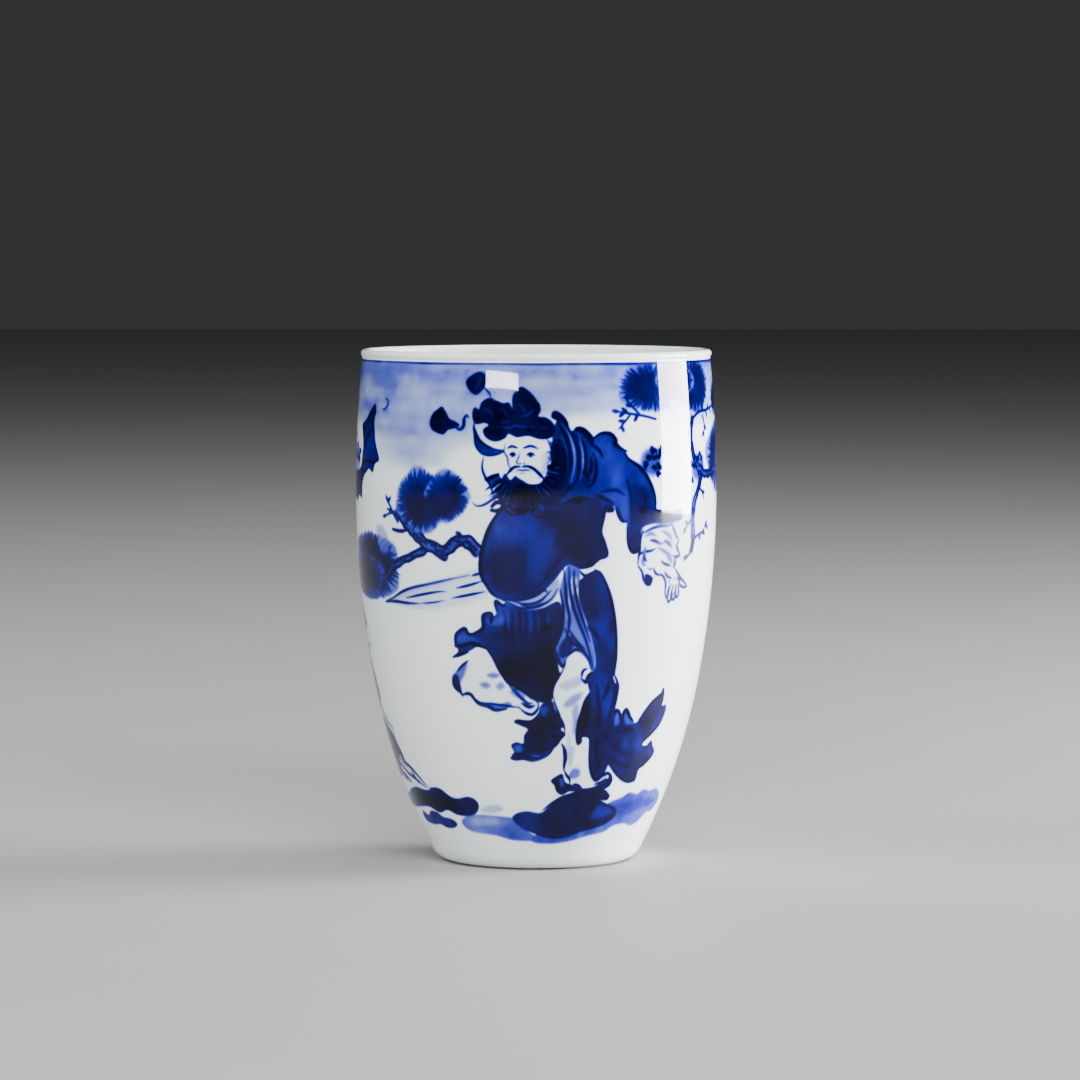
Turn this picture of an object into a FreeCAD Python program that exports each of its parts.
"""A porcelain teacup with underglaze cobalt painting, modelled in its fired layers.

Millimetres, +Z up, origin at the centre of the foot ring's resting face. The painter's main
figure faces -Y. Every size comes from the "dims" sheet; the sections are sketches on the XZ
plane whose constraints are bound to the sheet, turned about Z. The cobalt dissolves into the
glaze over it, so a painted area is a patch of blue glaze: the coat inside the motif's outline.
"""

import FreeCAD, Part
import math
import os
import Sketcher

DIMENSIONS = {
    "cup_height": 82.0,
    "belly_radius": 28.95,  # widest, outside the glaze
    "belly_height": 59.5,
    "upper_bow": 215.0,  # radius of the wall's curve above the belly
    "middle_bow": 165.0,  # and below it
    "lower_bow": 104.3,  # and below the join
    "join_height": 30.0,
    "corner_radius": 3.3,  # the tight turn into the foot
    "wall_thickness": 1.9,
    "lip_centre": 27.45,
    "lip_roll": 0.65,
    "floor_height": 5.0,
    "inner_corner": 10.0,
    "recess_height": 1.8,  # the hollow under the foot
    "recess_radius": 10.9,
    "ring_inner": 11.7,  # the bare resting ring
    "ring_outer": 14.2,
    "bare_edge": 15.1,  # the body's turn up from the ring
    "glaze_edge": 0.3,  # where the outer glaze stops, above the resting face
    "glaze_thickness": 0.25,
    "line_bottom": 80.15,
    "line_top": 80.55,
    "sky_bottom": 66.5,
    "motif_reach": 40.0,  # the length of each motif's prism
}

# Motif outlines: (distance round the belly from the front, height). "facing" is the direction
# in which the outline is pressed through the wall, in the same distance round the belly.
MOTIFS = {
    "main_figure": (7.0, [
        (-10.8, 74.2), (-7.0, 75.9), (-3.4, 78.0), (-0.6, 77.2), (2.6, 73.9), (5.0, 72.4),
        (9.0, 70.6), (12.9, 70.1), (16.0, 66.6), (20.5, 62.4), (21.2, 58.0), (27.2, 57.8),
        (27.0, 49.6), (29.8, 44.9), (26.4, 42.4), (22.8, 42.2), (21.6, 45.4), (17.0, 45.4),
        (16.0, 50.2), (14.2, 50.8), (13.6, 54.6), (12.3, 57.0), (12.3, 49.6), (14.5, 41.0),
        (15.3, 29.4), (15.6, 27.0), (18.4, 26.6), (19.8, 25.2), (25.8, 29.6), (28.0, 24.6),
        (24.0, 21.2), (27.2, 18.4), (23.4, 15.6), (23.2, 13.9), (16.8, 13.4), (5.4, 12.1),
        (2.2, 15.2), (5.2, 18.6), (3.0, 18.4), (-0.8, 17.6), (-6.0, 17.9), (-5.2, 21.6),
        (-3.0, 22.4), (-4.8, 24.4), (-4.2, 25.6), (-10.0, 26.0), (-13.6, 27.6), (-15.6, 30.8),
        (-15.2, 35.8), (-14.5, 38.8), (-9.4, 40.2), (-9.2, 42.4), (-7.6, 43.6), (-9.6, 47.6),
        (-9.4, 51.6), (-7.0, 56.6), (-10.8, 57.8), (-10.8, 59.4), (-8.6, 61.2), (-9.2, 65.4),
        (-10.6, 68.4),
    ]),
    "sword_blade": (-18.0, [
        (-29.6, 42.3), (-20.0, 41.9), (-9.0, 43.9), (-9.9, 47.8), (-9.3, 48.8), (-20.0, 46.2),
    ]),
    "left_pine": (-27.0, [
        (-43.2, 49.0), (-44.8, 46.2), (-43.0, 43.0), (-36.0, 42.0), (-30.2, 43.2), (-25.6, 46.4),
        (-20.0, 49.0), (-14.4, 49.0), (-12.4, 50.4), (-9.7, 50.0), (-7.8, 54.2), (-12.4, 55.2),
        (-10.9, 58.6), (-11.2, 62.6), (-14.8, 64.8), (-20.8, 64.8), (-25.6, 61.0), (-27.0, 60.2),
        (-29.2, 60.2), (-29.2, 55.4), (-34.0, 54.6), (-42.2, 52.6),
    ]),
    "right_pine": (33.0, [
        (15.0, 79.8), (13.0, 77.4), (13.2, 75.2), (11.0, 73.2), (12.6, 69.4), (15.0, 66.5),
        (17.0, 63.6), (19.8, 62.4), (22.4, 63.2), (22.4, 68.0), (21.0, 71.6), (26.0, 73.6),
        (28.4, 70.6), (28.0, 61.4), (29.0, 57.2), (26.4, 54.4), (26.6, 48.8), (31.2, 49.4),
        (31.6, 52.2), (36.8, 53.6), (36.4, 56.2), (31.4, 55.4), (34.8, 59.0), (40.0, 58.8),
        (47.4, 57.4), (52.0, 58.6), (52.6, 66.0), (48.0, 70.6), (48.4, 76.6), (42.0, 78.0),
        (37.6, 76.6), (36.6, 79.8), (26.0, 80.0),
    ]),
    "pine_trunk": (65.0, [
        (49.6, 11.6), (51.2, 9.0), (62.0, 8.8), (71.0, 9.2), (66.4, 13.2), (63.4, 19.6),
        (62.4, 27.0), (67.2, 30.4), (66.6, 33.0), (61.6, 32.4), (61.0, 36.0), (62.2, 42.2),
        (66.0, 45.6), (72.0, 50.8), (77.4, 57.0), (82.4, 59.6), (82.6, 63.6), (77.0, 66.6),
        (77.6, 72.4), (71.0, 75.4), (66.0, 74.4), (62.0, 77.6), (55.0, 77.4), (51.0, 74.6),
        (50.0, 71.6), (49.0, 67.6), (53.0, 61.4), (54.4, 56.0), (56.6, 52.0), (53.0, 45.0),
        (52.8, 42.4), (48.0, 42.4), (48.0, 39.2), (52.8, 39.2), (52.6, 37.0), (55.0, 29.0),
        (55.8, 21.0), (54.0, 14.2),
    ]),
    "great_bat": (-45.0, [
        (-29.0, 64.8), (-30.4, 68.4), (-30.6, 73.4), (-32.4, 74.4), (-37.9, 70.8), (-38.2, 67.4),
        (-42.4, 70.0), (-46.0, 68.4), (-48.4, 67.6), (-52.6, 74.6), (-56.4, 74.0), (-60.8, 66.8),
        (-52.0, 61.0), (-46.0, 57.2), (-36.2, 57.4), (-35.4, 61.0), (-31.4, 62.0),
    ]),
    "small_bat": (88.0, [
        (79.2, 56.8), (84.0, 60.4), (87.4, 58.4), (87.6, 59.4), (89.2, 59.4), (89.4, 58.4),
        (92.8, 60.8), (98.0, 56.4), (91.0, 53.0), (88.2, 50.8), (83.6, 53.5),
    ]),
    "attendant": (-50.0, [
        (-25.2, 12.75), (-29.0, 15.8), (-33.4, 18.6), (-34.0, 22.2), (-37.6, 25.2), (-37.8, 27.0),
        (-41.2, 34.0), (-37.8, 35.0), (-37.8, 37.6), (-43.2, 44.2), (-47.6, 47.2), (-47.4, 53.4),
        (-50.6, 57.2), (-54.0, 56.8), (-59.4, 52.6), (-63.6, 50.4), (-64.4, 46.0), (-61.4, 43.4),
        (-62.6, 37.0), (-64.2, 31.0), (-70.0, 24.6), (-72.0, 20.0), (-66.6, 13.4), (-58.0, 13.85),
        (-44.0, 13.6),
    ]),
    "front_ground": (8.0, [
        (-19.6, 7.6), (-16.8, 9.4), (-12.2, 11.3), (-6.4, 11.3), (-2.4, 10.6), (1.0, 10.6),
        (4.2, 12.0), (6.0, 13.0), (11.6, 13.95), (16.4, 13.1), (22.0, 13.2), (28.6, 13.3),
        (34.6, 12.4), (36.8, 10.6), (35.0, 7.8), (27.6, 5.9), (16.0, 5.2), (3.8, 3.9),
        (-8.0, 4.4), (-17.8, 5.9),
    ]),
    "left_ground": (-42.0, [
        (-12.4, 10.5), (-14.4, 12.2), (-18.4, 12.3), (-25.0, 12.74), (-44.0, 13.58),
        (-58.0, 13.83), (-66.6, 13.38), (-72.0, 11.0), (-64.0, 8.8), (-59.0, 6.6), (-34.0, 5.8),
        (-20.2, 5.9), (-19.9, 8.0), (-14.0, 8.4),
    ]),
    "back_ground": (92.0, [
        (75.6, 8.8), (77.0, 13.6), (80.8, 14.6), (82.0, 12.8), (88.0, 15.6), (97.0, 16.2),
        (104.0, 15.2), (109.6, 10.0), (109.6, 7.6), (96.0, 5.4), (82.0, 6.0),
    ]),
    "trunk_ground": (60.0, [
        (44.2, 8.4), (46.0, 14.6), (49.2, 14.6), (49.5, 11.6), (51.15, 8.95), (62.0, 8.75),
        (71.1, 9.15), (72.0, 11.0), (75.2, 8.8), (68.0, 6.6), (58.0, 5.8), (50.0, 6.6),
    ]),
}

# Where outlines run over one another, the motif named first stops at the others' outlines.
GIVES_WAY_TO = {
    "sword_blade": ["main_figure"],
    "left_pine": ["main_figure"],
    "right_pine": ["main_figure"],
    "pine_trunk": ["right_pine"],
    "attendant": ["left_pine"],
    "front_ground": ["main_figure"],
    "left_ground": ["attendant", "front_ground"],
    "trunk_ground": ["pine_trunk"],
}

doc = FreeCAD.newDocument("teacup")
sheet = doc.addObject("Spreadsheet::Sheet", "dims")
for row, (alias, value) in enumerate(DIMENSIONS.items(), start=1):
    sheet.set(f"A{row}", str(value))
    sheet.setAlias(f"A{row}", alias)
doc.recompute()


def worth(expression):
    """The number that an expression over the sheet has now."""
    result = sheet.evalExpression(expression)
    return float(getattr(result, "Value", result))


class Section:
    """A sketch of arcs and lines, driven by expressions over the sheet."""

    def __init__(self, sketch):
        self.sketch = sketch
        self.sizes = 0

    def bind(self, kind, *where, size):
        """A dimensional constraint that keeps to an expression."""
        index = self.sketch.addConstraint(Sketcher.Constraint(kind, *where, worth(size)))
        self.sizes += 1
        self.sketch.renameConstraint(index, f"size_{self.sizes}")
        self.sketch.setExpression(f"Constraints.size_{self.sizes}", size)

    def place(self, edge, spot, across=None, height=None):
        """Holds an edge's start (1), end (2) or centre (3) at a distance from the axis or base."""
        if across is not None:
            self.bind("DistanceX", -1, 1, edge, spot, size=across)
        if height is not None:
            self.bind("DistanceY", -1, 1, edge, spot, size=height)

    def meet(self, kind, *where):
        """A constraint without a value, such as Coincident or Tangent."""
        self.sketch.addConstraint(Sketcher.Constraint(kind, *where))

    def arc(self, centre, radius, start, end):
        """An arc, anticlockwise from the angle start to the angle end."""
        circle = Part.Circle(FreeCAD.Vector(*centre, 0), FreeCAD.Vector(0, 0, 1), radius)
        return self.sketch.addGeometry(Part.ArcOfCircle(circle, start, end), False)

    def spot(self, edge, end):
        """Where an edge starts (1) or ends (2), as (across, height)."""
        point = self.sketch.getPoint(edge, end)
        return point.x, point.y

    def line(self, start, end):
        """A straight edge."""
        ends = (FreeCAD.Vector(*point, 0) for point in (start, end))
        return self.sketch.addGeometry(Part.LineSegment(*ends), False)

    def path(self, first, last, corners):
        """Straight edges from one (edge, end) to another through corners given as expressions."""
        known = [(worth(across), worth(height)) for across, height in corners]
        points = [self.spot(*first), *known, self.spot(*last)]
        edges = [self.line(a, b) for a, b in zip(points, points[1:])]
        self.meet("Coincident", *first, edges[0], 1)
        for edge, following, (across, height) in zip(edges, edges[1:], corners):
            self.meet("Coincident", edge, 2, following, 1)
            self.place(edge, 2, across, height)
        self.meet("Coincident", edges[-1], 2, *last)


BELLY = "dims.belly_height"
LIP_HEIGHT = "dims.cup_height - dims.lip_roll"


def wall_line(section, inset, corner, corner_height, first, upper=None):
    """Tangent arcs up the wall, inset from the outer glaze: corner, lower, middle, upper.

    The middle and upper arcs meet upright at the belly. The corner arc starts near the angle
    first. Returns the edges from the bottom up.
    """
    across = f"dims.belly_radius - ({inset})"
    middle, lower = f"dims.middle_bow - ({inset})", f"dims.lower_bow - ({inset})"
    slope = "(dims.belly_height - dims.join_height) / dims.middle_bow"
    join = f"dims.belly_height - ({middle}) * {slope}"
    sink = math.asin(worth(slope))
    belly, middle_radius, lower_radius = worth(across), worth(middle), worth(lower)
    upper_radius = worth(upper or f"dims.upper_bow - ({inset})")
    middle_centre = (belly - middle_radius, worth(BELLY))
    gap = middle_radius - lower_radius
    lower_centre = (
        middle_centre[0] + gap * math.cos(sink), middle_centre[1] - gap * math.sin(sink)
    )
    top_rise = math.asin((worth(LIP_HEIGHT) - worth(BELLY)) / upper_radius)
    radius, height = worth(corner), worth(corner_height)
    drop = lower_centre[1] - height
    turn = math.asin(drop / (lower_radius - radius))
    centre = (lower_centre[0] + drop / math.tan(turn), height)
    upper_centre = (belly - upper_radius, worth(BELLY))
    edges = [
        section.arc(centre, radius, first, -turn),
        section.arc(lower_centre, lower_radius, -turn, -sink),
        section.arc(middle_centre, middle_radius, -sink, 0),
        section.arc(upper_centre, upper_radius, 0, top_rise),
    ]
    for edge, following in zip(edges, edges[1:]):
        section.meet("Tangent", edge, 2, following, 1)
    for edge, size in zip(edges, (corner, lower, middle)):
        section.bind("Radius", edge, size=size)
    section.place(edges[0], 3, height=corner_height)
    section.place(edges[1], 2, height=join)
    section.place(edges[2], 2, across, BELLY)
    section.place(edges[3], 3, height=BELLY)
    if not upper:
        section.bind("Radius", edges[3], size=f"dims.upper_bow - ({inset})")
    return edges


def lip(section, inset, start, end):
    """An arc of the rolled lip, between two angles."""
    centre = worth("dims.lip_centre"), worth(LIP_HEIGHT)
    edge = section.arc(centre, worth(f"dims.lip_roll - ({inset})"), start, end)
    section.bind("Radius", edge, size=f"dims.lip_roll - ({inset})")
    section.place(edge, 3, "dims.lip_centre", LIP_HEIGHT)
    return edge


def outer_line(section, inset):
    """The outside of the wall from the foot's corner up to the neck below the lip."""
    corner = f"dims.corner_radius - ({inset})"
    return wall_line(section, inset, corner, "dims.corner_radius", -1.2)


def inner_line(section, glaze):
    """The inside of the wall, glaze deep, from the floor's corner up to the lip."""
    inside = "(dims.belly_radius - dims.wall_thickness)"
    rise = f"({LIP_HEIGHT} - dims.belly_height)"
    step = f"(dims.lip_centre - {inside})"
    bow = f"({step}^2 + {rise}^2 - dims.lip_roll^2) / (2 * (dims.lip_roll - {step})) + {glaze}"
    edges = wall_line(
        section,
        f"dims.wall_thickness - ({glaze})",
        f"dims.inner_corner + ({glaze})",
        "dims.floor_height + dims.inner_corner",
        -math.pi / 2,
        bow,
    )
    height = worth(f"dims.floor_height - ({glaze})")
    start = section.spot(edges[0], 1)
    floor = section.line((0, height), (start[0], height))
    section.meet("Tangent", floor, 2, edges[0], 1)
    section.meet("Horizontal", floor)
    section.meet("PointOnObject", floor, 1, -2)
    return floor, edges


def turned_body(name, draw):
    """A PartDesign body: one section on its XZ plane, turned once round Z."""
    body = doc.addObject("PartDesign::Body", name)
    plane = next(f for f in body.Origin.OriginFeatures if f.Role == "XZ_Plane")
    sketch = body.newObject("Sketcher::SketchObject", f"{name}_section")
    sketch.AttachmentSupport = [(plane, "")]
    sketch.MapMode = "FlatFace"
    draw(Section(sketch))
    doc.recompute()
    turn = body.newObject("PartDesign::Revolution", f"{name}_turn")
    turn.Profile = sketch
    turn.ReferenceAxis = (sketch, ["V_Axis"])
    turn.Angle = 360
    body.Label = name
    doc.recompute()
    return body


GLAZE = "dims.glaze_thickness"
NECK, CREST, INSIDE = -math.pi / 4, math.pi / 2, math.pi
CEILING = f"dims.recess_height + {GLAZE}"


def draw_body(section):
    """The fired body: wall, lip, floor and foot ring."""
    outside = outer_line(section, GLAZE)
    section.place(outside[0], 1, across="dims.bare_edge")
    roll = lip(section, GLAZE, NECK, INSIDE)
    section.meet("Coincident", outside[-1], 2, roll, 1)
    floor, inside = inner_line(section, GLAZE)
    section.meet("Tangent", inside[-1], 2, roll, 2)
    foot = [
        ("0", CEILING),
        ("dims.recess_radius", CEILING),
        ("dims.ring_inner", "0"),
        ("dims.ring_outer", "0"),
    ]
    section.path((floor, 1), (outside[0], 1), foot)


def draw_outer_glaze(section):
    """The clear glaze outside, from just above the foot to the crest of the lip."""
    skin, back = outer_line(section, "0"), outer_line(section, GLAZE)
    section.place(skin[0], 1, height="dims.glaze_edge")
    section.place(back[0], 1, across="dims.bare_edge")
    section.path((skin[0], 1), (back[0], 1), [])
    rolls = [lip(section, inset, NECK, CREST) for inset in ("0", GLAZE)]
    for roll, wall in zip(rolls, (skin, back)):
        section.meet("Coincident", wall[-1], 2, roll, 1)
        section.place(roll, 2, across="dims.lip_centre")
    section.path((rolls[0], 2), (rolls[1], 2), [])


def draw_inner_glaze(section):
    """The clear glaze inside, from the crest of the lip down over the floor."""
    ends = []
    for inset in ("0", GLAZE):
        floor, wall = inner_line(section, inset)
        roll = lip(section, inset, CREST, INSIDE)
        section.meet("Tangent", wall[-1], 2, roll, 2)
        section.place(roll, 1, across="dims.lip_centre")
        ends.append((floor, roll))
    (floor, roll), (under, back) = ends
    section.path((floor, 1), (under, 1), [])
    section.path((roll, 1), (back, 1), [])


def draw_foot_glaze(section):
    """The clear glaze in the hollow under the foot, stopping short of the ring."""
    side = "dims.ring_inner - (dims.ring_inner - dims.recess_radius) * dims.glaze_edge"
    low = f"{side} / ({CEILING})"
    corners = [
        ("0", CEILING),
        ("dims.recess_radius", CEILING),
        (low, "dims.glaze_edge"),
        (f"{low} - {GLAZE}", "dims.glaze_edge + 0.1"),
        (f"dims.recess_radius - {GLAZE}", "dims.recess_height"),
    ]
    foot = section.line((0, worth("dims.recess_height")), (0, worth(CEILING)))
    section.place(foot, 1, "0", "dims.recess_height")
    section.place(foot, 2, "0", CEILING)
    section.path((foot, 2), (foot, 1), corners[1:])


def wall_radius(height):
    """The outer wall's radius at a height between the foot's corner and the neck."""
    belly, belly_height = worth("dims.belly_radius"), worth(BELLY)
    middle, lower = worth("dims.middle_bow"), worth("dims.lower_bow")
    above = height - belly_height
    if above >= 0:
        upper = worth("dims.upper_bow")
        return belly - upper + math.sqrt(upper**2 - above**2)
    if height >= worth("dims.join_height"):
        return belly - middle + math.sqrt(middle**2 - above**2)
    sink = math.asin((belly_height - worth("dims.join_height")) / middle)
    gap = middle - lower
    drop = height - (belly_height - gap * math.sin(sink))
    return belly - middle + gap * math.cos(sink) + math.sqrt(lower**2 - drop**2)


def motif_prism(name, facing, outline):
    """A prism over one motif's outline, from the axis out through the wall it faces."""
    round_belly = worth("dims.belly_radius")
    sketch = doc.addObject("Sketcher::SketchObject", f"{name}_outline")
    section = Section(sketch)
    points = [(wall_radius(z) * math.sin((s - facing) / round_belly), z) for s, z in outline]
    edges = [section.line(a, b) for a, b in zip(points, points[1:] + points[:1])]
    for edge, following in zip(edges, edges[1:] + edges[:1]):
        section.meet("Coincident", edge, 2, following, 1)
    turn = FreeCAD.Rotation(FreeCAD.Vector(0, 0, 1), math.degrees(facing / round_belly))
    upright = FreeCAD.Rotation(FreeCAD.Vector(1, 0, 0), 90)
    sketch.Placement = FreeCAD.Placement(FreeCAD.Vector(), turn * upright)
    prism = doc.addObject("Part::Extrusion", f"{name}_prism")
    prism.Base = sketch
    prism.DirMode = "Normal"
    prism.Solid = True
    prism.setExpression("LengthFwd", "dims.motif_reach")
    return prism


def band(name, low, high):
    """A disc wider than the cup, between two heights."""
    disc = doc.addObject("Part::Cylinder", name)
    disc.setExpression("Radius", "dims.motif_reach")
    disc.setExpression("Height", f"{high} - {low}")
    disc.setExpression("Placement.Base.z", low)
    return disc


def common(name, base, tool):
    """What two solids share."""
    shared = doc.addObject("Part::Common", name)
    shared.Base, shared.Tool = base, tool
    return shared


def without(name, base, tools):
    """A solid with others taken out of it."""
    together = tools[0]
    if len(tools) > 1:
        together = doc.addObject("Part::MultiFuse", f"{name}_taken")
        together.Shapes = tools
    left = doc.addObject("Part::Cut", name)
    left.Base, left.Tool = base, together
    return left


body = turned_body("porcelain_body", draw_body)
inner_glaze = turned_body("inner_glaze", draw_inner_glaze)
foot_glaze = turned_body("foot_glaze", draw_foot_glaze)

coat = turned_body("outer_coat", draw_outer_glaze)
line_band = band("line_band", "dims.line_bottom", "dims.line_top")
sky_band = band("sky_band", "dims.sky_bottom", "dims.line_bottom")
lip_band = band("lip_band", "dims.line_top", "dims.cup_height")
prisms = {name: motif_prism(name, *drawing) for name, drawing in MOTIFS.items()}
painted = []
for name, prism in prisms.items():
    over = [prisms[other] for other in GIVES_WAY_TO.get(name, [])]
    patch = common(f"{name}_patch" if over else name, coat, prism)
    painted.append(without(name, patch, over) if over else patch)
sky_wash = without("sky_wash", common("sky_coat", coat, sky_band), list(prisms.values()))
rim_line = common("rim_line", coat, line_band)
lip_glaze = common("lip_glaze", coat, lip_band)
wall_glaze = without("wall_glaze", coat, [line_band, sky_band, lip_band, *prisms.values()])
doc.recompute()

SUBPARTS = [body, inner_glaze, foot_glaze, lip_glaze, rim_line, sky_wash, wall_glaze, *painted]

failed = [o.Name for o in doc.Objects if {"Invalid", "Error"} & set(o.State)]
if failed:
    raise RuntimeError(f"these objects did not compute: {failed}")
for part in SUBPARTS:
    part.Label = part.Name
    if part.Shape.isNull() or not part.Shape.isValid():
        raise RuntimeError(f"{part.Label} has no valid shape")

os.makedirs("parts", exist_ok=True)
for part in SUBPARTS:
    part.Shape.exportStep(os.path.join("parts", f"{part.Label}.step"))
    solids = len(part.Shape.Solids)
    print(f"{part.Label}: {part.Shape.Volume:.1f} mm3 in {solids} solid(s)")
